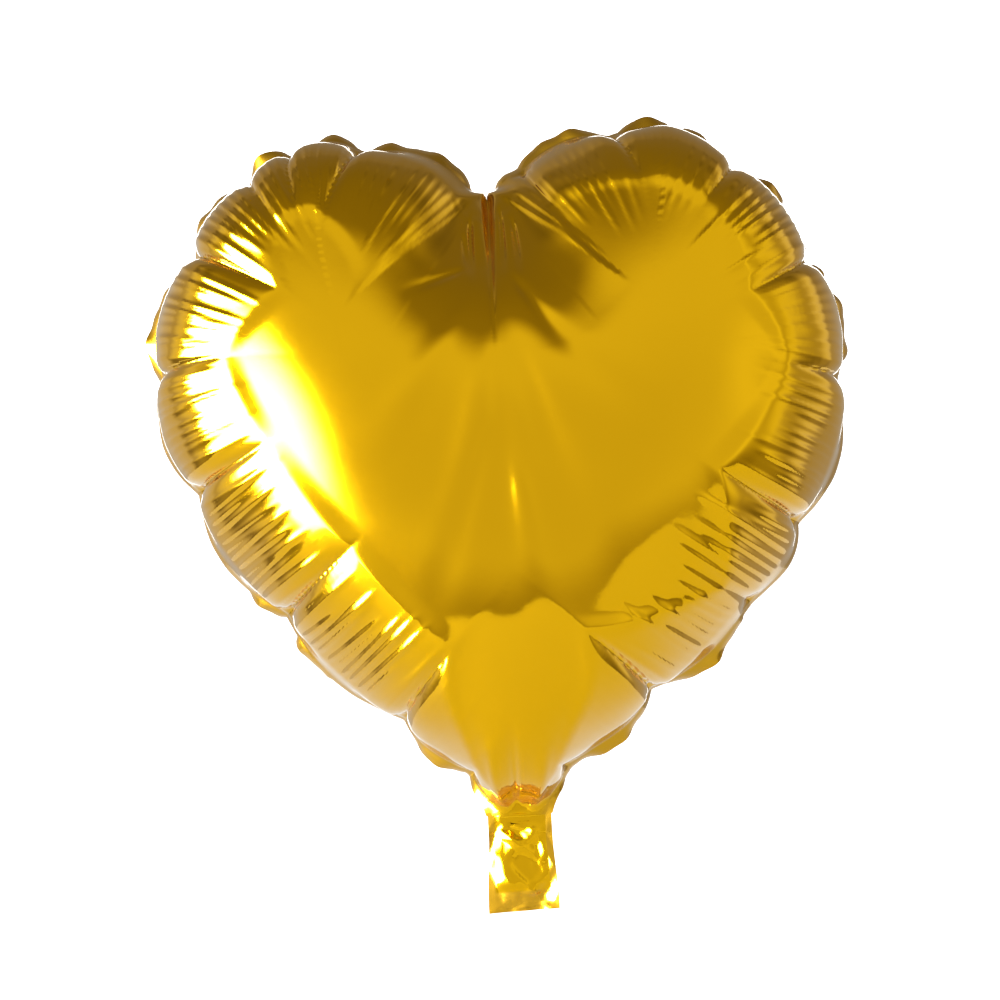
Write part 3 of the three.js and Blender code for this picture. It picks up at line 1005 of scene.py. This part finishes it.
def new_mesh(name, vertices, faces, values=None):
    """Object at the origin with its place in its mesh, smooth, with point attributes."""
    mesh = bpy.data.meshes.new(name)
    mesh.from_pydata(vertices.tolist(), [], faces.tolist())
    mesh.update()
    mesh.polygons.foreach_set("use_smooth", np.ones(len(mesh.polygons), bool))
    for key, value in (values or {}).items():
        mesh.attributes.new(key, "FLOAT", "POINT").data.foreach_set("value", value)
    piece = bpy.data.objects.new(name, mesh)
    bpy.context.scene.collection.objects.link(piece)
    return piece


class Number:
    """A number in a shader. Its operators add Math nodes."""

    def __init__(self, shader, socket):
        self.shader = shader
        self.socket = socket

    def _with(self, operation, *values):
        node = self.shader.node("ShaderNodeMath", {"operation": operation}, *values)
        return Number(self.shader, node.outputs[0])

    def __add__(self, other):
        return self._with("ADD", self, other)

    __radd__ = __add__

    def __sub__(self, other):
        return self._with("SUBTRACT", self, other)

    def __rsub__(self, other):
        return self._with("SUBTRACT", other, self)

    def __mul__(self, other):
        return self._with("MULTIPLY", self, other)

    __rmul__ = __mul__


class Shader:
    """A node tree, with one method that adds any node."""

    def __init__(self, owner):
        owner.use_nodes = True
        self.owner = owner
        self.tree = owner.node_tree

    @classmethod
    def material(cls, name):
        """Shader of a new material, with its surface."""
        shader = cls(bpy.data.materials.new(name))
        shader.surface = shader.tree.nodes["Principled BSDF"]
        return shader

    def node(self, kind, settings, *values, **named):
        """Adds a node: first its settings, then its sockets' values or links."""
        node = self.tree.nodes.new(kind)
        for key, value in settings.items():
            setattr(node, key, value)
        for key, value in list(enumerate(values)) + list(named.items()):
            self.put(node.inputs[key], value)
        return node

    def put(self, socket, value):
        """Sets a socket to a value or links it."""
        if isinstance(value, Number):
            value = value.socket
        if isinstance(value, bpy.types.NodeSocket):
            self.tree.links.new(value, socket)
        else:
            socket.default_value = value

    def place(self):
        """The piece's own coordinates, in metres."""
        return self.node("ShaderNodeTexCoord", {}).outputs["Object"]

    def step(self, value, first, last):
        """Eased step from 0 at first to 1 at last."""
        node = self.node(
            "ShaderNodeMapRange", {"interpolation_type": "SMOOTHSTEP"},
            Value=value, **{"From Min": first, "From Max": last},
        )
        return Number(self, node.outputs[0])

    def noise(self, scale, detail=2.0):
        """Clouds between 0 and 1 of the given number per metre."""
        node = self.node(
            "ShaderNodeTexNoise", {}, Vector=self.place(), Scale=scale, Detail=detail
        )
        return Number(self, node.outputs["Fac"])

    def attribute(self, name):
        """A number stored on the mesh."""
        node = self.node("ShaderNodeAttribute", {"attribute_name": name})
        return Number(self, node.outputs["Fac"])

    def mix(self, share, first, second):
        """Colour between two, by a share."""
        node = self.tree.nodes.new("ShaderNodeMix")
        node.data_type = "RGBA"
        self.put(node.inputs[0], share)
        self.put(node.inputs[6], first)
        self.put(node.inputs[7], second)
        return node.outputs[2]

    def bump(self, height, distance, strength=1.0, below=None):
        """Bump that feeds a Normal."""
        node = self.node(
            "ShaderNodeBump", {}, Strength=strength, Distance=distance, Height=height
        )
        if below is not None:
            self.put(node.inputs["Normal"], below)
        return node.outputs[0]


def gold_foil(look):
    """Metallised film: mirror gold under a clear layer, with faint clouds, fine grain and
    a duller, knurled weld. The weld's darker gold, which also fades into the film for a few
    millimetres beside the seam, is painted shade."""
    shader = Shader.material("gold_foil")
    weld = shader.attribute("weld")
    clouds = shader.noise(9, 3.0)
    gold = (*look.gold, 1)
    deep = (*[c * 0.9 for c in look.gold], 1)
    weld_gold_and_shade = (*look.weld_gold_and_shade, 1)
    colour = shader.mix(clouds, gold, deep)
    # Painted shade: the weld, and the film fading from it beside the seam, are darkened towards
    # the weld's gold by the weld value.
    colour = shader.mix(weld * 0.75, colour, weld_gold_and_shade)
    surface = shader.surface
    shader.put(surface.inputs["Base Color"], colour)
    surface.inputs["Metallic"].default_value = 1
    rough = look.roughness + 0.03 * shader.noise(30, 4.0) + 0.12 * weld
    shader.put(surface.inputs["Roughness"], rough)
    facing = shader.node("ShaderNodeLayerWeight", {}, Blend=0.5).outputs["Facing"]
    coat = look.coat * (0.05 + 0.95 * shader.step(facing, 0.15, 0.6))
    shader.put(surface.inputs["Coat Weight"], coat)
    surface.inputs["Coat Roughness"].default_value = 0.06
    surface.inputs["Coat IOR"].default_value = 1.55
    grain = shader.bump(shader.noise(420, 2.0), 0.00002, 0.35)
    soft = shader.bump(shader.noise(38, 2.0), 0.0006, 0.12, grain)
    shader.put(surface.inputs["Normal"], soft)
    return shader.owner


def clear_film():
    """Thin clear film with faint streaks and cloudy alpha."""
    shader = Shader.material("clear_film")
    clouds = shader.noise(60, 3.0)
    shader.put(
        shader.surface.inputs["Base Color"],
        shader.mix(clouds, (0.86, 0.88, 0.86, 1), (0.94, 0.95, 0.93, 1)),
    )
    shader.put(shader.surface.inputs["Alpha"], 0.45 + 0.2 * clouds)
    shader.put(shader.surface.inputs["Roughness"], 0.12 + 0.1 * shader.noise(150, 2.0))
    shader.put(shader.surface.inputs["Normal"], shader.bump(shader.noise(220, 2.0), 0.0001, 0.3))
    return shader.owner


def grey(level):
    """A grey colour of the given level."""
    return (level, level, level, 1)


def pale_floor():
    """Matt sheet with faint clouds that glows by itself: white to the camera, and in the
    foil dim on the floor, rising to white up the backdrop."""
    shader = Shader.material("pale_floor")
    surface = shader.surface
    shade = shader.mix(shader.noise(3, 2.0), grey(FLOOR_SHADE), grey(FLOOR_SHADE * 0.985))
    shader.put(surface.inputs["Base Color"], shade)
    shader.put(surface.inputs["Roughness"], 0.8 + 0.1 * shader.noise(8, 2.0))
    surface.inputs["Specular IOR Level"].default_value = 0.1
    parts = shader.node("ShaderNodeSeparateXYZ", {}, shader.place())
    risen = shader.step(parts.outputs["Z"], FLOOR_HEIGHT, FLOOR_HEIGHT + BEND)
    seen = shader.node("ShaderNodeLightPath", {}).outputs["Is Camera Ray"]
    glow = shader.mix(risen, grey(FLOOR_GLOW), grey(1))
    shader.put(surface.inputs["Emission Color"], shader.mix(seen, glow, grey(1)))
    surface.inputs["Emission Strength"].default_value = 1
    return shader.owner


class BalloonSizes(bpy.types.PropertyGroup):
    cut_ratio: FloatProperty(
        name="Cut ratio", description="Flat film's width over the filled heart's", default=1.16
    )
    cell: FloatProperty(
        name="Cell", description="Side of the coarsest triangles", default=0.0116, unit="LENGTH"
    )
    fullness: FloatProperty(
        name="Fullness", description="How full the rim is for the same crown", default=1.35
    )
    pillow_height: FloatProperty(
        name="Pillow height", description="Rise of a pillow between two creases",
        default=0.0025, unit="LENGTH",
    )
    crease_depth: FloatProperty(
        name="Crease depth", description="Drop of the film along a pucker's crease",
        default=0.0075, unit="LENGTH",
    )
    ridge_height: FloatProperty(
        name="Ridge height", description="Height of the fine ridges by the weld",
        default=0.0013, unit="LENGTH",
    )
    edge_height: FloatProperty(
        name="Edge height", description="Rise of the soft edge between the creases' ends",
        default=0.0022, unit="LENGTH",
    )
    weld_width: FloatProperty(
        name="Weld width", description="Width of the loose welded edge", default=0.008,
        unit="LENGTH",
    )


class BalloonLook(bpy.types.PropertyGroup):
    gold: FloatVectorProperty(
        name="Gold", description="Colour of the foil", default=(0.83, 0.465, 0.003),
        subtype="COLOR", min=0, max=1,
    )
    # Darker gold of the welded edge: painted shade, on the weld and on the film just beside the
    # seam.
    weld_gold_and_shade: FloatVectorProperty(
        name="Weld gold", description="Colour of the welded edge", default=(0.5, 0.28, 0.02),
        subtype="COLOR", min=0, max=1,
    )
    roughness: FloatProperty(
        name="Roughness", description="Roughness of the foil", default=0.06, min=0, max=1
    )
    coat: FloatProperty(
        name="Clear layer", description="Weight of the clear layer over the metal",
        default=1.0, min=0, max=1,
    )


class BalloonStage(bpy.types.PropertyGroup):
    distance: FloatProperty(
        name="Camera distance", description="From the camera to the heart's middle plane",
        default=2.3, unit="LENGTH",
    )
    view_width: FloatProperty(
        name="View width", description="Width seen at the heart's middle plane", default=0.561,
        unit="LENGTH",
    )
    roll: FloatProperty(
        name="Camera roll", description="Turn of the camera about its line of sight",
        default=math.radians(3), unit="ROTATION",
    )
    front_level: FloatProperty(
        name="Front level", description="Brightness of the room behind the camera", default=0.84
    )
    side_level: FloatProperty(
        name="Side level", description="Brightness of the room at the sides", default=0.66
    )
    back_level: FloatProperty(
        name="Back level", description="Brightness behind the balloon", default=0.45
    )
    ceiling: FloatProperty(
        name="Ceiling share", description="Overhead brightness over that at eye level",
        default=0.36,
    )
    dark_spot: FloatProperty(
        name="Dark spot", description="How much darker the room is straight behind the camera",
        default=0.09,
    )
    soft_level: FloatProperty(
        name="Soft light level", description="Brightness of the wide soft light", default=2.5
    )
    core_level: FloatProperty(
        name="Soft light core", description="Extra brightness of its middle", default=260.0
    )
    softbox: FloatProperty(
        name="Soft light", description="Power of the large soft light at the left",
        default=110, unit="POWER",
    )


_filled = {}


def filled_once(sizes):
    """The filled film, worked out once for both sides."""
    key = (sizes.cell, sizes.cut_ratio)
    if key not in _filled:
        _filled[key] = filled_film(sizes.cell / MM, sizes.cut_ratio)
    return _filled[key]


def foil_once(look):
    """The foil's material, made once for both films."""
    return bpy.data.materials.get("gold_foil") or gold_foil(look)


def add_film(name, side, seed, panel, tail):
    """Builds one film, gives it the foil, hides the parts it stands for and keeps its placement
    in its mesh.
    """
    scene = bpy.context.scene
    piece = film_mesh(name, filled_once(scene.balloon_sizes), side, seed, scene.balloon_sizes)
    piece.data.materials.append(foil_once(scene.balloon_look))
    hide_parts(panel, tail)
    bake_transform(piece)
    return piece


class BALLOON_OT_front_film(bpy.types.Operator):
    """Front film: filled heart, weld, neck with its slit, and tail"""

    bl_idname = "balloon.front_film"
    bl_label = "Front film"

    def execute(self, context):
        add_film("front_film", -1, 11, "front_panel", "tail_front_film")
        return {"FINISHED"}


class BALLOON_OT_rear_film(bpy.types.Operator):
    """Rear film: filled heart, weld, neck and tail"""

    bl_idname = "balloon.rear_film"
    bl_label = "Rear film"

    def execute(self, context):
        add_film("rear_film", 1, 29, "rear_panel", "tail_rear_film")
        return {"FINISHED"}


class BALLOON_OT_valve_films(bpy.types.Operator):
    """Two clear valve films inside the neck"""

    bl_idname = "balloon.valve_films"
    bl_label = "Valve films"

    def execute(self, context):
        material = clear_film()
        for name, side, body, node in (
            ("valve_front_sheet", -1, "valve_front_lip", "valve_front_film"),
            ("valve_rear_sheet", 1, "valve_rear_lip", "valve_rear_film"),
        ):
            piece = valve_sheet(name, side)
            piece.data.materials.append(material)
            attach(piece, body)
            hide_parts(node)
        return {"FINISHED"}


# Corner of a valve film, its distance from the middle plane and half its thickness.
VALVE_CORNER = 5
VALVE_MIDDLE = 0.3
VALVE_SKIN = 0.03


def valve_sheet(name, side):
    """Thin sheet with rounded upper corners: a grid whose width shrinks along a quarter
    circle at the top, waved a little and given a thickness by two layers."""
    low, high = np.array(VALVE_LOW) / MM, np.array(VALVE_HIGH) / MM
    u, v = np.meshgrid(np.linspace(-1, 1, 25), np.linspace(0, 1, 49))
    z = low[2] + (high[2] - low[2]) * v
    into = np.clip((z - (high[2] - VALVE_CORNER)) / VALVE_CORNER, 0, 1)
    half = high[0] - VALVE_CORNER * (1 - np.sqrt(1 - into**2))
    x = half * u
    wave = 0.05 * np.sin(z * 0.35 + 0.1 * x) + 0.03 * np.sin(x * 0.8)
    rows, cols = u.shape
    number = np.arange(rows * cols).reshape(rows, cols)
    quads = np.stack([number[:-1, :-1], number[:-1, 1:], number[1:, 1:], number[1:, :-1]], -1)
    quads = quads.reshape(-1, 4)
    rim = np.concatenate([number[0], number[1:, -1], number[-1, -2::-1], number[-2:0:-1, 0]])
    layers = [
        np.stack([x, side * (VALVE_MIDDLE + skin) + wave, z], -1).reshape(-1, 3)
        for skin in (-VALVE_SKIN, VALVE_SKIN)
    ]
    shift = rows * cols
    walls = np.stack([rim, rim + shift, np.roll(rim, -1) + shift, np.roll(rim, -1)], 1)
    faces = np.concatenate([quads, quads[:, ::-1] + shift, walls])
    if side < 0:
        faces = np.concatenate([quads[:, ::-1], quads + shift, walls[:, ::-1]])
    return new_mesh(name, np.concatenate(layers) * MM, faces)


class BALLOON_OT_stage(bpy.types.Operator):
    """Floor, backdrop, room, soft light and camera"""

    bl_idname = "balloon.stage"
    bl_label = "Stage"

    def execute(self, context):
        stage = context.scene.balloon_stage
        add_backdrop()
        add_room(stage)
        add_softbox(stage)
        add_camera(stage)
        context.scene.view_settings.view_transform = "Standard"
        return {"FINISHED"}


# Floor and backdrop, in metres: height, reach to the front, half width, start and radius
# of the bend, top, and how many points each straight run has.
FLOOR_HEIGHT = -0.6
FLOOR_FRONT = 1.6
FLOOR_HALF = 1.15
BEND_START = 2.7
BEND = 0.8
BEND_STEPS = 12
BACKDROP_TOP = 2.3
BACKDROP_FOOT = 1
FLOOR_POINTS = 9
BACKDROP_POINTS = 5
# Grey of the floor, and its own glow as the foil sees it.
FLOOR_SHADE = 0.06
FLOOR_GLOW = 0.52


def add_backdrop():
    """Pale floor that turns up into a backdrop: a line, a quarter circle and a line,
    carried sideways."""
    turn = np.linspace(0, math.pi / 2, BEND_STEPS + 1)[1:]
    y = np.concatenate([
        np.linspace(-FLOOR_FRONT, BEND_START, FLOOR_POINTS),
        BEND_START + BEND * np.sin(turn),
        np.full(BACKDROP_POINTS, BEND_START + BEND),
    ])
    z = np.concatenate([
        np.zeros(FLOOR_POINTS),
        BEND * (1 - np.cos(turn)),
        np.linspace(BACKDROP_FOOT, BACKDROP_TOP, BACKDROP_POINTS),
    ])
    x, y = np.meshgrid(np.linspace(-FLOOR_HALF, FLOOR_HALF, 13), y, indexing="ij")
    sheet = np.stack([x, y, np.broadcast_to(z + FLOOR_HEIGHT, x.shape)], -1)
    number = np.arange(x.size).reshape(x.shape)
    quads = np.stack([number[:-1, :-1], number[1:, :-1], number[1:, 1:], number[:-1, 1:]], -1)
    piece = new_mesh("floor", sheet.reshape(-1, 3), quads.reshape(-1, 4))
    piece.data.materials.append(pale_floor())


# The room by direction. Each pair is where an eased step of a direction starts and ends.
BEHIND = (0.26, 0.42)
AHEAD = (0.0, 0.75)
OVERHEAD = (0.50, 0.78)
BELOW = (0.2, 0.5)
BELOW_FALL = 0.55
DARK_AHEAD = (0.80, 0.985)
DARK_UP = (0.0, 0.5)
# Upright stripes at the sides: where, how many in a turn, where they start, how strong.
ASIDE = (0.15, 0.45)
STRIPES = 11
STRIPE_START = 0.8
STRIPE_LEVEL = 0.16
# Behind the balloon: dimmer higher up, brighter to the left.
BACK_UP = (0.05, 0.6)
BACK_FALL = 0.4
BACK_LEFT = (0.0, 0.8)
BACK_RISE = 0.5
# The wide soft light: its middle's direction, and its rim and core.
SOFT_WAY = Vector((-0.80, -0.60, -0.04)).normalized()
SOFT_RIM = (0.80, 0.95)
SOFT_CORE = (0.84, 0.94)
# Share of green and blue where the room is dark; both are full where it is bright.
DARK_GREEN = 0.84
DARK_BLUE = 0.6


def room_ahead(shader, x, y, z, stage):
    """Brightness in front: a level at the sides with stripes, another straight behind the
    camera with a darker spot, less overhead and below."""
    level = stage.side_level
    level = level + (stage.front_level - stage.side_level) * shader.step(0 - y, *AHEAD)
    around = shader.node("ShaderNodeMath", {"operation": "ARCTAN2"}, x, 0 - y).outputs[0]
    turned = STRIPES * Number(shader, around) + STRIPE_START
    stripe = shader.node("ShaderNodeMath", {"operation": "SINE"}, turned).outputs[0]
    level = level + STRIPE_LEVEL * shader.step(x * x, *ASIDE) * Number(shader, stripe)
    level = level * (1 - (1 - stage.ceiling) * shader.step(z, *OVERHEAD))
    level = level * (1 - BELOW_FALL * shader.step(0 - z, *BELOW))
    dark = shader.step(0 - y, *DARK_AHEAD) * (1 - shader.step(z, *DARK_UP))
    return level - stage.dark_spot * dark


def room_behind(shader, x, z, stage):
    """Brightness behind the balloon: a level that falls upwards and rises to the left."""
    level = stage.back_level * (1 - BACK_FALL * shader.step(z, *BACK_UP))
    return level * (1 + BACK_RISE * shader.step(0 - x, *BACK_LEFT))


def room_light(shader, way, stage):
    """Brightness of the wide soft light: eased steps of how well a direction meets its
    middle's, one for the rim and one for the core."""
    meets = shader.node(
        "ShaderNodeVectorMath", {"operation": "DOT_PRODUCT"}, way, tuple(SOFT_WAY)
    )
    meets = Number(shader, meets.outputs["Value"])
    rim = stage.soft_level * shader.step(meets, *SOFT_RIM)
    return rim + stage.core_level * shader.step(meets, *SOFT_CORE)


def add_room(stage):
    """A room, by direction: brightest in front of the balloon, dimmer at the sides,
    dimmest behind it and overhead, with a wide soft light at the left. The camera itself
    sees plain white."""
    world = bpy.data.worlds.new("room")
    bpy.context.scene.world = world
    shader = Shader(world)
    way = shader.node("ShaderNodeTexCoord", {}).outputs["Generated"]
    parts = shader.node("ShaderNodeSeparateXYZ", {}, way)
    x, y, z = (Number(shader, parts.outputs[k]) for k in range(3))
    behind = shader.step(y, *BEHIND)
    level = room_ahead(shader, x, y, z, stage) * (1 - behind)
    level = level + behind * room_behind(shader, x, z, stage)
    level = level + room_light(shader, way, stage)
    seen = Number(shader, shader.node("ShaderNodeLightPath", {}).outputs["Is Camera Ray"])
    level = level * (1 - seen) + seen
    bright = shader.step(level, 0.0, 1.0)
    green = level * (DARK_GREEN + (1 - DARK_GREEN) * bright)
    blue = level * (DARK_BLUE + (1 - DARK_BLUE) * bright)
    colour = shader.node("ShaderNodeCombineColor", {}, level, green, blue)
    background = shader.tree.nodes["Background"]
    shader.put(background.inputs[0], colour.outputs[0])
    background.inputs[1].default_value = 1


def add_area(name, place, aim, width, height, power):
    """A soft rectangular light aimed at a point."""
    light = bpy.data.lights.new(name, "AREA")
    light.energy = power
    light.shape = "RECTANGLE"
    light.size = width
    light.size_y = height
    piece = bpy.data.objects.new(name, light)
    piece.location = place
    piece.rotation_euler = (Vector(aim) - Vector(place)).to_track_quat("-Z", "Y").to_euler()
    bpy.context.scene.collection.objects.link(piece)
    return piece


# The soft light, in metres: place, aim, width and height.
SOFTBOX_PLACE = (-2.1, -1.7, 0.25)
SOFTBOX_AIM = (0, 0, 0.2)
SOFTBOX_SIZE = (0.7, 1.3)


def add_softbox(stage):
    """The large soft light at the left, seen only in the foil."""
    light = add_area("softbox", SOFTBOX_PLACE, SOFTBOX_AIM, *SOFTBOX_SIZE, stage.softbox)
    light.visible_diffuse = False
    light.visible_camera = False


# Point the camera looks at, in metres, and its sensor's width in millimetres.
AIM = (-0.0017, 0, 0.188)
SENSOR = 36


def add_camera(stage):
    """Camera straight in front, rolled a little, with a lens that gives the view width."""
    data = bpy.data.cameras.new("camera")
    data.sensor_width = SENSOR
    data.lens = SENSOR * stage.distance / stage.view_width
    data.clip_end = 50
    piece = bpy.data.objects.new("camera", data)
    piece.location = (AIM[0], AIM[1] - stage.distance, AIM[2])
    piece.rotation_euler = (math.pi / 2, stage.roll, 0)
    bpy.context.scene.collection.objects.link(piece)
    bpy.context.scene.camera = piece


OPERATORS = (
    BALLOON_OT_front_film,
    BALLOON_OT_rear_film,
    BALLOON_OT_valve_films,
    BALLOON_OT_stage,
)


class BALLOON_PT_parts(bpy.types.Panel):
    """The balloon's pieces and their settings"""

    bl_idname = "BALLOON_PT_parts"
    bl_label = "Balloon"
    bl_space_type = "VIEW_3D"
    bl_region_type = "UI"
    bl_category = "Balloon"

    def draw(self, context):
        for group in (
            context.scene.balloon_sizes, context.scene.balloon_look, context.scene.balloon_stage
        ):
            for key in group.bl_rna.properties.keys():
                if key not in ("rna_type", "name"):
                    self.layout.prop(group, key)
        for operator in OPERATORS:
            self.layout.operator(operator.bl_idname)


GROUPS = (
    ("balloon_sizes", BalloonSizes),
    ("balloon_look", BalloonLook),
    ("balloon_stage", BalloonStage),
)


def register():
    for name, group in GROUPS:
        bpy.utils.register_class(group)
        setattr(bpy.types.Scene, name, PointerProperty(type=group))
    for kind in OPERATORS + (BALLOON_PT_parts,):
        bpy.utils.register_class(kind)


def unregister():
    for kind in (BALLOON_PT_parts,) + OPERATORS[::-1]:
        bpy.utils.unregister_class(kind)
    for name, group in GROUPS[::-1]:
        delattr(bpy.types.Scene, name)
        bpy.utils.unregister_class(group)


def main():
    register()
    bpy.ops.balloon.front_film()
    bpy.ops.balloon.rear_film()
    bpy.ops.balloon.valve_films()
    bpy.ops.balloon.stage()


if __name__ == "__main__":
    main()
